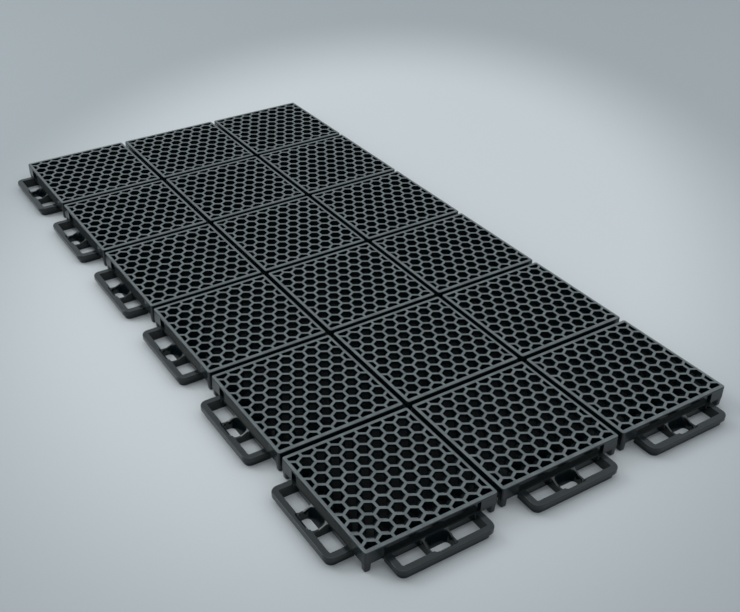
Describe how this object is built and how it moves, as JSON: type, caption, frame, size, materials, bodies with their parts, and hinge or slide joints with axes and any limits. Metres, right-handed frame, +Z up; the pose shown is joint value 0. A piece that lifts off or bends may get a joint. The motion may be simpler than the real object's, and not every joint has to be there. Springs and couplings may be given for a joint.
{
  "type": "interlocking floor tile",
  "caption": "Honeycomb drainage floor tile in black plastic, flexible between its square sections, with loops and pegs that join it to the next tile.",
  "frame": {"origin": "middle of the box round the whole tile, on the floor", "axes": "+Z up through the walking face, +Y along the six rows, the loops on the -X and -Y sides"},
  "size_m": [0.3136, 0.6136, 0.016],
  "materials": {
    "tile_plastic": "moulded, slightly satin"
  },
  "bodies": {
    "root": {"section_row1_column1": "tile_plastic", "section_row1_column2": "tile_plastic", "section_row1_column3": "tile_plastic", "section_row2_column1": "tile_plastic", "section_row2_column2": "tile_plastic", "section_row2_column3": "tile_plastic", "section_row3_column1": "tile_plastic", "section_row3_column2": "tile_plastic", "section_row3_column3": "tile_plastic", "section_row4_column1": "tile_plastic", "section_row4_column2": "tile_plastic", "section_row4_column3": "tile_plastic", "section_row5_column1": "tile_plastic", "section_row5_column2": "tile_plastic", "section_row5_column3": "tile_plastic", "section_row6_column1": "tile_plastic", "section_row6_column2": "tile_plastic", "section_row6_column3": "tile_plastic"}
  },
  "joints": []
}
